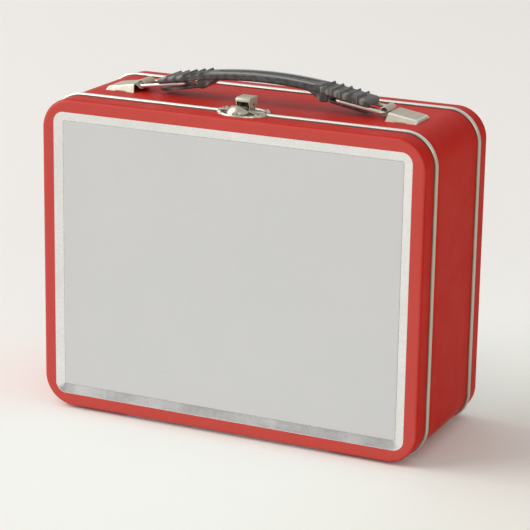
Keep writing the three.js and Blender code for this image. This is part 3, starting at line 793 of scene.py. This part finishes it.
def clip_ring(side, base_x, top_x, height, half_base, half_top):
    """One cut through a clip's cover, and how much painted highlight each point gets."""
    sheet = min(CLIP_SHEET, height * 0.6)
    outer = channel_path(height, half_base, half_top)
    inner = channel_path(height - sheet, half_base - sheet * 1.1, half_top - sheet * 0.8)
    ring = []
    for y, z, _ in outer + inner[::-1]:
        x = base_x + (top_x - base_x) * z / height
        ring.append((CLIPS_X + side * x, HANDLE_Y + y, TOP_Z + z))
    wear_and_painted_light = [float(rub_and_highlight) for _, _, rub_and_highlight in outer] + [0.0] * len(inner)
    return ring, wear_and_painted_light


def strip(name, path, half, thickness, side, material):
    """A strip of sheet following a path of (x, z), its width running along y."""
    edge = half - thickness / 4
    upper = ((half, 0.5), (edge, 1), (-edge, 1), (-half, 0.5))
    section = upper + tuple((-y, -out) for y, out in upper)
    rings = []
    for place, (x, z) in enumerate(path):
        before = Vector(path[max(place - 1, 0)])
        after = Vector(path[min(place + 1, len(path) - 1)])
        along = (after - before).normalized()
        across = Vector((-along.y, along.x)) * thickness / 2
        ring = []
        for y, out in section:
            ring.append((CLIPS_X + side * (x + across.x * out), HANDLE_Y + y, z + across.y * out))
        rings.append(ring)
    return loft(name, rings, [material], sharp=40)


def make_clip(side, name):
    rings, wear_and_painted_light = [], []
    for place, station in enumerate(CLIP_STATIONS):
        ring, rub_and_highlight = clip_ring(side, *station)
        rings.append(ring)
        # Stations along the outer end edge get a painted highlight all round.
        wear_and_painted_light += [1.0] * len(rub_and_highlight) if place in CLIP_EDGE else rub_and_highlight
    points, faces = skin(rings, False)
    cover = build(f"clip_{name}", points, faces, [NICKEL], wear_and_painted_light=wear_and_painted_light, sharp=35)
    lead = ((74, 2.6), (71, 3.0), (69.4, 3.25), (68.5, 3.3), (67.8, 3.12), (67.25, 2.8))
    path = [(x, TOP_Z + height) for x, height in lead]
    path += arc((BARREL_X, BARREL_Z), CURL_RADIUS, -40, -345, 30)
    curl = strip("curl", path, CURL_HALF, CURL_SHEET, side, NICKEL)
    parts = [curl]
    for end in (-1, 1):
        foot = 8.9 * end
        under = TOP_Z - 1.05
        path = [(foot, TOP_Z + 0.5), (foot, TOP_Z - 0.75), (foot - 0.3 * end, under), (4.6 * end, under)]
        parts.append(tab("tab", path, side))
    finish_piece(merge(cover, parts), "case", "nickel", f"handle_clip_{name}")


def tab(name, path, side):
    """A fixing tab folded in under the band, following a path of (y, z)."""
    rings = []
    for place, (y, z) in enumerate(path):
        along = (Vector(path[min(place + 1, len(path) - 1)]) - Vector(path[max(place - 1, 0)])).normalized()
        across = Vector((-along.y, along.x)) * 0.3
        rings.append([(CLIPS_X + side * x, HANDLE_Y + y + across.x * out, z + across.y * out)
                      for x, out in ((72, 1), (78, 1), (78, -1), (72, -1))])
    return loft(name, rings, [NICKEL], sharp=40)


def make_loop(side, name):
    """A closed wire loop lying in its resting plane."""
    corners = (
        (0, -LOOP_HALF, 180), (LOOP_LENGTH, -LOOP_HALF, 270), (LOOP_LENGTH, LOOP_HALF, 0), (0, LOOP_HALF, 90),
    )
    path = []
    for along, across, start in corners:
        shift = LOOP_BEND if along == 0 else -LOOP_BEND
        centre = (along + shift, across - math.copysign(LOOP_BEND, across))
        path += arc(centre, LOOP_BEND, start, start + 90, 8)
    inward = Vector((-side * math.cos(LOOP_REST), 0, math.sin(LOOP_REST)))
    level = Vector((0, 1, 0))
    normal = inward.cross(level)
    origin = Vector((CLIPS_X + side * BARREL_X, HANDLE_Y, LOOP_Z))
    rings = []
    for place, point in enumerate(path):
        before, after = path[place - 1], path[(place + 1) % len(path)]
        outward = Vector((after[1] - before[1], before[0] - after[0])).normalized()
        sideways = inward * outward.x + level * outward.y
        middle = origin + inward * point[0] + level * point[1]
        rings.append([middle + sideways * out + normal * up for out, up in circle((0, 0), WIRE_RADIUS, 16)])
    loop = loft(f"loop_{name}", rings, [WIRE], closed=True, sharp=60)
    finish_piece(loop, f"loop_{name}", "steel_wire", f"wire_loop_{name}")


# ---- Latch ----
ESCUTCHEON_HALF = (13.5, 11.4)
ESCUTCHEON_Y = (base_high.y + strike_low.y) / 2
MOUTH_LID_Y = lid_high.y
LOBES = 26
RECESS_HEIGHT = 0.35
FRONT_SHARE = 0.88  # how deep the front half of the oval is beside the rear half


def wing_ratio(x, y):
    """1 at the foot of the raised middle of the plate, 0 at its centre."""
    return math.hypot(x / 10.8, (y + 0.6) / 6.8)


def shell_ratio(x, y):
    """1 at the foot of the shell that the hook is formed from, 0 at its top."""
    return math.hypot((x + 1.6) / 5.6, (y + 3.4) / 3.8)


def escutcheon_height(x, y, turn, ratio):
    """Height of the stamped plate over the case at a place measured from its centre."""
    edge = (1 - ratio) * 12.4
    height = RECESS_HEIGHT
    if edge < 1.6:
        ends = smooth_step((abs(math.cos(turn)) - 0.5) / 0.25)
        lobes = 0.6 + ends * (0.35 + 0.45 * math.cos(LOBES * turn))
        height += lobes * math.sqrt(max(0.0, 1 - ((edge - 0.8) / 0.8) ** 2))
    height = max(height, RECESS_HEIGHT + 2.3 * smooth_step(1.2 * (1 - wing_ratio(x, y))))
    shell = shell_ratio(x, y)
    if shell < 1:
        height = max(height, RECESS_HEIGHT + 3.9 * (1 - shell ** 2) ** 0.6)
    return height


def in_recess_shade(x, y):
    """Whether a place on the plate, measured from its centre, lies in the front of its recess, which gets
    painted shade.
    """
    ratio = math.hypot(x / ESCUTCHEON_HALF[0], y / (ESCUTCHEON_HALF[1] * FRONT_SHARE))
    return ratio < 0.88 and shell_ratio(x, y) > 1 and (wing_ratio(x, y) > 0.9 or y < -3)


def escutcheon(name):
    """The whole oval plate, before it is parted into strike and base."""
    around, rows = 96, 36
    rings = []
    for row in range(rows):
        ratio = 1 - row / rows
        ring = []
        for step in range(around):
            turn = 2 * math.pi * step / around
            x = ESCUTCHEON_HALF[0] * ratio * math.cos(turn)
            y = ESCUTCHEON_HALF[1] * ratio * math.sin(turn) * (FRONT_SHARE if turn > math.pi else 1)
            ring.append((HARDWARE_X + x, ESCUTCHEON_Y + y, TOP_Z + escutcheon_height(x, y, turn, ratio)))
        rings.append(ring)
    under = [(x, y, TOP_Z + 0.02) for x, y, _ in rings[0]]
    points, faces = skin([under] + rings, False)
    paints = []
    for face in faces:
        x = sum(points[corner][0] for corner in face) / len(face) - HARDWARE_X
        y = sum(points[corner][1] for corner in face) / len(face) - ESCUTCHEON_Y
        # Faces in the front of the recess take the dark nickel: painted shade.
        paints.append(int(len(face) == 4 and in_recess_shade(x, y)))
    return build(name, points, faces, [BRIGHT_NICKEL, DARK_NICKEL], paints, sharp=50)


def block(name, x, y, z, material=None):
    corners = [(x[0], y[0]), (x[1], y[0]), (x[1], y[1]), (x[0], y[1])]
    return prism(name, corners, z[0], z[1], "z", material or BRIGHT_NICKEL)


def latch_span(half):
    return (HARDWARE_X - half, HARDWARE_X + half)


def make_strike():
    plate = escutcheon("strike_plate")
    behind = block("behind", latch_span(20), (MOUTH_LID_Y - 0.1, ESCUTCHEON_Y + 20), (TOP_Z - 5, TOP_Z + 20))
    combine(plate, [behind], "DIFFERENCE", sharp=40)
    tip = strike_high.y
    side_view = [(tip - 4.6, TOP_Z + 2.2), (tip - 0.2, TOP_Z + 2.4), (tip, TOP_Z + 3.45)]
    side_view += [(tip - 1, TOP_Z + 3.45), (tip - 1.4, TOP_Z + 3.0), (tip - 4.6, TOP_Z + 3.0)]
    hook = prism("hook", side_view, *latch_span(2.3), "x", BRIGHT_NICKEL)
    bevel(hook, 0.12, segments=2)
    combine(plate, [hook], "UNION", sharp=40)
    finish_piece(plate, "lid", "nickel", "latch_strike")


def make_base():
    plate = escutcheon("latch_plate")
    front = block("front", latch_span(20), (ESCUTCHEON_Y - 20, MOUTH_LID_Y + 0.15), (TOP_Z - 5, TOP_Z + 20))
    middle_y = (front_bead_low.y + front_bead_high.y) / 2
    relief = cylinder("relief", (middle_y, TOP_Z), 1.5, *latch_span(20), "x", BRIGHT_NICKEL)
    seat = block("seat", latch_span(4.1), (MOUTH_LID_Y - 1, hasp_high.y + 1), (TOP_Z + 0.8, TOP_Z + 9))
    combine(plate, [front, seat], "DIFFERENCE", sharp=40)
    arch = cylinder("arch", (middle_y, TOP_Z), 2.1, *latch_span(11.5), "x", BRIGHT_NICKEL)
    cap = block("cap", latch_span(11.5), (MOUTH_LID_Y + 0.15, middle_y + 2.4), (TOP_Z, TOP_Z + 1.9))
    combine(arch, [cap], "INTERSECT", sharp=40)
    combine(plate, [arch], "UNION", sharp=40)
    combine(plate, [relief], "DIFFERENCE", sharp=40)
    ears = []
    for side in (-1, 1):
        shape = [(LATCH_PIN.y - 3.6, TOP_Z + 0.3), (LATCH_PIN.y - 3.2, TOP_Z + 2.4)]
        shape += arc((LATCH_PIN.y, LATCH_PIN.z), 1.6, 180, 0, 14)
        shape += [(LATCH_PIN.y + 3.2, TOP_Z + 2.4), (LATCH_PIN.y + 3.4, TOP_Z + 0.3)]
        x = sorted((HARDWARE_X + side * 2.5, HARDWARE_X + side * 3.1))
        ears.append(prism("ear", shape, *x, "x", BRIGHT_NICKEL))
    core_y = (LATCH_PIN.y - 0.8, LATCH_PIN.y + 2)
    # A dark block between the ears: painted shade under the hasp.
    core = block("core", latch_span(2.6), core_y, (TOP_Z + 0.3, LATCH_PIN.z - 0.8), DARK_NICKEL)
    merge(plate, ears + [core])
    finish_piece(plate, "case", "nickel", "latch_base")


def make_hasp():
    """A hollow cover, curled over at its front lip, open below and behind."""
    front, rear, top = hasp_low.y, hasp_high.y, hasp_high.z
    half = (hasp_high.x - hasp_low.x) / 2
    lip = 1.5
    side_view = [(front + 1.2, TOP_Z + 3.0), (LATCH_PIN.y - 1, TOP_Z + 2.0), (LATCH_PIN.y + 1.4, TOP_Z + 2.0),
                 (rear, LATCH_PIN.z - 0.6), (rear, top), (front + lip, top)]
    side_view += arc((front + lip, top - lip), lip, 100, 200, 8)
    hasp = prism("hasp_cover", side_view, *latch_span(half), "x", NICKEL)
    bevel(hasp, 0.35, segments=3, angle=50)
    # The cutters' dark nickel passes to the cut faces: painted shade inside the cover.
    hollow = block("hollow", latch_span(half - 0.6), (front + 0.6, rear + 1), (TOP_Z, top - 0.6), DARK_NICKEL)
    mouth = block("mouth", latch_span(half - 0.7), (front - 1, front + 2.5), (TOP_Z, top - 1.9), DARK_NICKEL)
    combine(hasp, [hollow, mouth], "DIFFERENCE", sharp=40)
    finish_piece(hasp, "hasp", "nickel", "latch_hasp")
    pin = dome_pin("hasp_pin", (LATCH_PIN.y, LATCH_PIN.z), 0.65, half + 0.25)
    finish_piece(pin, "case", "steel_wire", "latch_pin")


def dome_pin(name, centre, radius, half):
    """A pin along x with rounded ends."""
    ends = [(half, 0.55), (half - 0.08, 0.85), (half - 0.2, 1.0)]
    stations = [(-x, share) for x, share in ends] + ends[::-1]
    rings = [[(HARDWARE_X + x, y, z) for y, z in circle(centre, radius * share, 24)] for x, share in stations]
    return loft(name, rings, [DARK_NICKEL], sharp=50)


def make_rivet(body, node):
    """A low domed head, with its shank and clinched tail under the sheet."""
    low, high = span(node)
    middle = (low + high) / 2
    head, top = 1.6, TOP_Z + 0.3
    under = TOP_Z - SHEET
    profile = [(head, under - 0.45), (head, under), (1.0, under), (1.0, top), (head, top)]
    for turn in (12, 28, 45, 62, 78, 87):
        angle = math.radians(turn)
        profile.append((head * math.cos(angle), top + 0.75 * math.sin(angle)))
    rings = [[(x, y, z) for x, y in circle((middle.x, middle.y), radius, 28)] for radius, z in profile]
    finish_piece(loft(node + "_head", rings, [BRIGHT_NICKEL], sharp=50), body, "nickel", node)


def make_latch():
    make_strike()
    make_base()
    make_hasp()
    for name in ("left", "right"):
        make_rivet("case", f"latch_base_rivet_{name}")
        make_rivet("lid", f"latch_strike_rivet_{name}")


# ---- Hinge ----
KNUCKLES = 7
KNUCKLE_RADIUS = 1.1
KNUCKLE_GAP = 0.3


def make_leaf(name, node, body, first, inner_y):
    """One leaf with every second knuckle, and a row of spot-weld dimples."""
    low, high = span(node)
    half = high.x
    leaf = block(name, (-half, half), (low.y if first else inner_y, inner_y if first else high.y),
                 (FLOOR_Z - 0.5, FLOOR_Z - 0.01), TIN)
    pitch = 2 * half / KNUCKLES
    knuckles = []
    for place in range(first, KNUCKLES, 2):
        x = (-half + place * pitch + KNUCKLE_GAP / 2, -half + (place + 1) * pitch - KNUCKLE_GAP / 2)
        knuckles.append(cylinder("knuckle", (HINGE.y, HINGE.z), KNUCKLE_RADIUS, *x, "x", TIN))
        knuckles.append(block("neck", x, sorted((HINGE.y, inner_y + (-0.4 if first else 0.4))),
                              (FLOOR_Z - 0.5, FLOOR_Z - 0.01), TIN))
    combine(leaf, knuckles, "UNION", sharp=40)
    bore = cylinder("bore", (HINGE.y, HINGE.z), 0.7, -half - 1, half + 1, "x", TIN)
    dimples = []
    leaf_y = ((low.y if first else high.y) + inner_y) / 2
    for place in range(6):
        centre = (-half + 9 + place * (2 * half - 18) / 5, leaf_y)
        dimples.append(cylinder("dimple", centre, 1.3, FLOOR_Z - 0.6, FLOOR_Z - 0.42, "z", TIN, steps=20))
    combine(leaf, [bore] + dimples, "DIFFERENCE", sharp=40)
    finish_piece(leaf, body, "bare_tin", node)


def make_hinge():
    make_leaf("leaf_on_band", "hinge_leaf_band", "case", 0, band_low.y + 0.1)
    make_leaf("leaf_on_lid", "hinge_leaf_lid", "lid", 1, lid_high.y - 0.1)
    pin_low, pin_high = span("hinge_pin")
    half = pin_high.x
    stations = [(-half, 0.45), (-half + 0.15, 0.62), (half - 0.15, 0.62), (half, 0.45)]
    rings = [[(x, y, z) for y, z in circle((HINGE.y, HINGE.z), radius, 20)] for x, radius in stations]
    finish_piece(loft("hinge_rod", rings, [WIRE], sharp=50), "case", "steel_wire", "hinge_pin")


make_case()
make_handle()
for SIDE, SIDE_NAME in ((-1, "left"), (1, "right")):
    make_clip(SIDE, SIDE_NAME)
    make_loop(SIDE, SIDE_NAME)
make_latch()
make_hinge()


# ---- Stage, lights and camera ----
WORLD_LEFT = 0.45
WORLD_TOP = 0.16
WORLD_FRONT = 0.36
WORLD_BACK = 0.48


def floor_paper():
    """White paper, painted cooler round the part to cancel the red light it throws on it, and painted a
    darker yellow grey to the right as shade.
    """
    shade = Shade("floor_paper")
    grain = shade.ramp(shade.noise(3, detail=3), (0.3, srgb(239, 237, 234)), (0.7, srgb(243, 241, 238)))
    near = shade.fade(shade.distance(), 0.1, 0.36, 1.0, 0.0)
    # Near the part the paper is mixed toward a cool white: a painted correction for the red light the part
    # bounces onto it.
    cooled = shade.mix(shade.maths("MULTIPLY", near, 0.7), grain, srgb(246, 250, 246))
    # Towards the right the paper is mixed toward a yellow grey: painted shade.
    right = shade.fade(shade.axis("X"), 0.05, 0.42, 0.0, 0.75)
    shade.set(colour=shade.mix(right, cooled, srgb(224, 217, 198)), roughness=0.9, specular=0.1)
    return shade.material


def make_floor():
    half = 8000
    corners = [(-half, -half, 0), (half, -half, 0), (half, half, 0), (-half, half, 0)]
    build("floor", corners, [(0, 1, 2, 3)], [floor_paper()])


def make_world():
    """A room that is bright overhead and to the left, grey in front and dim behind."""
    world = bpy.data.worlds.new("studio")
    bpy.context.scene.world = world
    world.use_nodes = True
    nodes, links = world.node_tree.nodes, world.node_tree.links
    direction = nodes.new("ShaderNodeTexCoord").outputs["Generated"]
    split = nodes.new("ShaderNodeSeparateXYZ")
    links.new(direction, split.inputs[0])

    def fade(axis, start, end, low, high):
        node = nodes.new("ShaderNodeMapRange")
        node.interpolation_type = "SMOOTHSTEP"
        links.new(split.outputs[axis], node.inputs["Value"])
        for name, number in zip(("From Min", "From Max", "To Min", "To Max"), (start, end, low, high)):
            node.inputs[name].default_value = number
        return node.outputs["Result"]

    def add(first, second):
        node = nodes.new("ShaderNodeMath")
        links.new(first, node.inputs[0])
        links.new(second, node.inputs[1])
        return node.outputs[0]

    left = fade("X", -0.2, -0.9, 0.0, WORLD_LEFT)
    overhead = fade("Z", 0.35, 0.9, 0.0, WORLD_TOP)
    front = fade("Y", 0.3, -0.6, WORLD_BACK, WORLD_FRONT)
    background = nodes["Background"]
    background.inputs["Color"].default_value = (1.0, 0.99, 0.975, 1)
    links.new(add(add(left, overhead), front), background.inputs["Strength"])


def area_light(name, place, target, size, power, colour=(1, 1, 1)):
    data = bpy.data.lights.new(name, "AREA")
    data.shape = "RECTANGLE"
    data.size, data.size_y = size
    data.energy = power
    data.color = colour
    light = bpy.data.objects.new(name, data)
    bpy.context.scene.collection.objects.link(light)
    light.location = place
    light.rotation_mode = "QUATERNION"
    light.rotation_quaternion = (Vector(target) - Vector(place)).to_track_quat("-Z", "Y")


def make_lights():
    centre = (0, 0, 0.08)
    area_light("key", (-4.2, -1.6, 3.2), centre, (4.4, 4.4), 188, (1, 0.99, 0.97))
    area_light("front", (1.8, -4.2, 1.6), centre, (3, 2.4), 46)
    area_light("fill", (2.6, -1.2, 1.1), centre, (1.8, 1.8), 6, (1, 0.95, 0.75))


CAMERA_PLACE = (0.451, -0.97145, 0.3874)
CAMERA_TURN = (24.79, 16.18, 0.94)  # azimuth, elevation and roll in degrees
CAMERA_LENS = 151.15
CAMERA_SHIFT = (-0.0017, 0.0015)


def make_camera():
    """A long lens above and to the right of the front."""
    data = bpy.data.cameras.new("camera")
    data.sensor_width = 36
    data.lens = CAMERA_LENS
    data.clip_end = 50
    data.shift_x, data.shift_y = CAMERA_SHIFT
    camera = bpy.data.objects.new("camera", data)
    bpy.context.scene.collection.objects.link(camera)
    bpy.context.scene.camera = camera
    azimuth, elevation, roll = map(math.radians, CAMERA_TURN)
    forward = Vector((-math.sin(azimuth) * math.cos(elevation), math.cos(azimuth) * math.cos(elevation),
                      -math.sin(elevation)))
    level_right = Vector((math.cos(azimuth), math.sin(azimuth), 0))
    level_up = level_right.cross(forward)
    right = level_right * math.cos(roll) + level_up * math.sin(roll)
    up = right.cross(forward)
    turn = Matrix((right, up, -forward)).transposed().to_4x4()
    camera.matrix_world = Matrix.Translation(Vector(CAMERA_PLACE)) @ turn
    bpy.context.scene.view_settings.view_transform = "Standard"


make_floor()
make_world()
make_lights()
make_camera()
